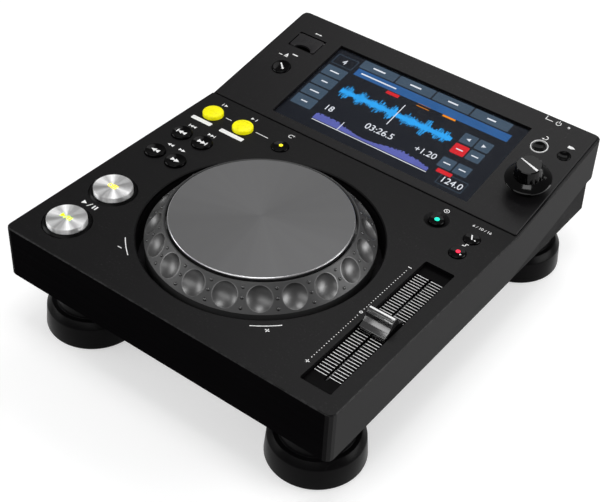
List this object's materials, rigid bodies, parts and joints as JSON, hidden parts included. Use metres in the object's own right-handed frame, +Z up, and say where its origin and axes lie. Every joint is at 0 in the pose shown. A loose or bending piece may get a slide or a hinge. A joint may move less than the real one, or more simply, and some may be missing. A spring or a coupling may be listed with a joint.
{
  "type": "dj multi player",
  "caption": "Compact table-top media player: flat deck with a dimpled jog wheel, tempo slider and buttons, and a tilted head with a touch screen, selector knob and USB flap.",
  "frame": {"origin": "on the ground under the middle of the case's box", "axes": "+X to the player's right, +Y to the rear along the depth, +Z up"},
  "size_m": [0.216, 0.264, 0.0981],
  "materials": {
    "case_plastic": "satin black with a faint brushed grain",
    "base_plastic": "matt black",
    "panel_plastic": "semi-gloss dark grey",
    "foot_rubber": "matt black",
    "display_glass": "clear, glossy",
    "lcd": "lit picture on black",
    "circuit_board": "green lacquer",
    "jog_plate": "satin grey, faint radial sheen",
    "jog_rim": "glossy dark grey",
    "steel": "plain",
    "code_wheel": "matt black",
    "gloss_black": "gloss black",
    "slider_carriage": "plain",
    "flap_rubber": "satin dark grey",
    "button_metal": "circular brushed",
    "lit_yellow": "lit from inside",
    "lit_white": "translucent white"
  },
  "bodies": {
    "housing": {"top_case": "case_plastic", "bottom_case": "base_plastic", "head_panel": "panel_plastic", "rear_panel": "base_plastic", "jog_well": "base_plastic", "slider_plate": "base_plastic", "foot_front_left": "foot_rubber", "foot_front_right": "foot_rubber", "foot_rear_left": "foot_rubber", "foot_rear_right": "foot_rubber", "display_glass": "display_glass", "lcd_module": "lcd", "main_board": "circuit_board", "head_board": "circuit_board", "control_board": "circuit_board", "power_supply_board": "circuit_board", "jog_bearing": "steel", "selector_encoder": "steel", "slider_track": "steel", "usb_flap_pin": "steel", "usb_port": "base_plastic", "play_ring": "gloss_black", "cue_ring": "gloss_black", "back_ring": "lit_white", "standby_lamp": "lit_white", "audio_socket_left": "steel", "audio_socket_right": "steel", "link_socket": "steel", "usb_device_socket": "steel", "power_inlet": "base_plastic"},
    "jog": {"jog_rim": "jog_rim", "jog_shaft": "steel", "encoder_wheel": "code_wheel"},
    "jog_plate": {"jog_top_plate": "jog_plate"},
    "selector_push": {"selector_shaft": "steel"},
    "selector_turn": {"selector_knob": "gloss_black"},
    "tempo_slider": {"slider_cap": "gloss_black", "slider_carriage": "slider_carriage"},
    "usb_cover": {"usb_flap": "flap_rubber"},
    "play": {"play_button": "button_metal"},
    "cue": {"cue_button": "button_metal"},
    "search_back": {"search_back_button": "gloss_black"},
    "search_forward": {"search_forward_button": "gloss_black"},
    "track_back": {"track_back_button": "gloss_black"},
    "track_forward": {"track_forward_button": "gloss_black"},
    "loop_in": {"loop_in_button": "lit_yellow"},
    "loop_out": {"loop_out_button": "lit_yellow"},
    "reloop": {"reloop_button": "gloss_black"},
    "vinyl_mode": {"vinyl_mode_button": "gloss_black"},
    "tempo_range": {"tempo_range_button": "gloss_black"},
    "master_tempo": {"master_tempo_button": "gloss_black"},
    "usb_stop": {"usb_stop_button": "gloss_black"},
    "back": {"back_button": "gloss_black"},
    "tag_track": {"tag_track_button": "gloss_black"},
    "power": {"power_button": "gloss_black"}
  },
  "joints": [
    {"name": "jog_spin", "type": "hinge", "parent": "housing", "child": "jog", "pos_m": [0, -0.0491, 0.072], "axis": [0, 0, 1], "continuous": true},
    {"name": "jog_press", "type": "slide", "parent": "jog", "child": "jog_plate", "axis": [0, 0, -1], "range_m": [0, 0.0005], "stiffness_N_per_m": 3000, "springref_m": -0.0005},
    {"name": "selector_press", "type": "slide", "parent": "housing", "child": "selector_push", "axis": [0, 0.1822, -0.9833], "range_m": [0, 0.0008], "stiffness_N_per_m": 1000, "springref_m": -0.001},
    {"name": "selector_spin", "type": "hinge", "parent": "selector_push", "child": "selector_turn", "pos_m": [0.0933, 0.07212, 0.07832], "axis": [0, -0.1822, 0.9833], "continuous": true},
    {"name": "tempo_slide", "type": "slide", "parent": "housing", "child": "tempo_slider", "axis": [0, -1, 0], "range_m": [-0.044, 0.044]},
    {"name": "usb_flap_hinge", "type": "hinge", "parent": "housing", "child": "usb_cover", "pos_m": [-0.0868, 0.11055, 0.08433], "axis": [-1, 0, 0], "range_deg": [0, 100]},
    {"name": "play_press", "type": "slide", "parent": "housing", "child": "play", "axis": [0, 0, -1], "range_m": [0, 0.001], "stiffness_N_per_m": 800, "springref_m": -0.001},
    {"name": "cue_press", "type": "slide", "parent": "housing", "child": "cue", "axis": [0, 0, -1], "range_m": [0, 0.001], "stiffness_N_per_m": 800, "springref_m": -0.001},
    {"name": "search_back_press", "type": "slide", "parent": "housing", "child": "search_back", "axis": [0, 0, -1], "range_m": [0, 0.0006], "stiffness_N_per_m": 500, "springref_m": -0.001},
    {"name": "search_forward_press", "type": "slide", "parent": "housing", "child": "search_forward", "axis": [0, 0, -1], "range_m": [0, 0.0006], "stiffness_N_per_m": 500, "springref_m": -0.001},
    {"name": "track_back_press", "type": "slide", "parent": "housing", "child": "track_back", "axis": [0, 0, -1], "range_m": [0, 0.0006], "stiffness_N_per_m": 500, "springref_m": -0.001},
    {"name": "track_forward_press", "type": "slide", "parent": "housing", "child": "track_forward", "axis": [0, 0, -1], "range_m": [0, 0.0006], "stiffness_N_per_m": 500, "springref_m": -0.001},
    {"name": "loop_in_press", "type": "slide", "parent": "housing", "child": "loop_in", "axis": [0, 0, -1], "range_m": [0, 0.0006], "stiffness_N_per_m": 500, "springref_m": -0.001},
    {"name": "loop_out_press", "type": "slide", "parent": "housing", "child": "loop_out", "axis": [0, 0, -1], "range_m": [0, 0.0006], "stiffness_N_per_m": 500, "springref_m": -0.001},
    {"name": "reloop_press", "type": "slide", "parent": "housing", "child": "reloop", "axis": [0, 0, -1], "range_m": [0, 0.0006], "stiffness_N_per_m": 500, "springref_m": -0.001},
    {"name": "vinyl_mode_press", "type": "slide", "parent": "housing", "child": "vinyl_mode", "axis": [0, 0, -1], "range_m": [0, 0.0006], "stiffness_N_per_m": 500, "springref_m": -0.001},
    {"name": "tempo_range_press", "type": "slide", "parent": "housing", "child": "tempo_range", "axis": [0, 0, -1], "range_m": [0, 0.0006], "stiffness_N_per_m": 500, "springref_m": -0.001},
    {"name": "master_tempo_press", "type": "slide", "parent": "housing", "child": "master_tempo", "axis": [0, 0, -1], "range_m": [0, 0.0006], "stiffness_N_per_m": 500, "springref_m": -0.001},
    {"name": "usb_stop_press", "type": "slide", "parent": "housing", "child": "usb_stop", "axis": [0, 0.1822, -0.9833], "range_m": [0, 0.0006], "stiffness_N_per_m": 500, "springref_m": -0.001},
    {"name": "back_press", "type": "slide", "parent": "housing", "child": "back", "axis": [0, 0.1822, -0.9833], "range_m": [0, 0.0006], "stiffness_N_per_m": 500, "springref_m": -0.001},
    {"name": "tag_track_press", "type": "slide", "parent": "housing", "child": "tag_track", "axis": [0, 0.1822, -0.9833], "range_m": [0, 0.0006], "stiffness_N_per_m": 500, "springref_m": -0.001},
    {"name": "power_press", "type": "slide", "parent": "housing", "child": "power", "axis": [0, -1, 0], "range_m": [0, 0.0015], "stiffness_N_per_m": 500, "springref_m": -0.001}
  ]
}
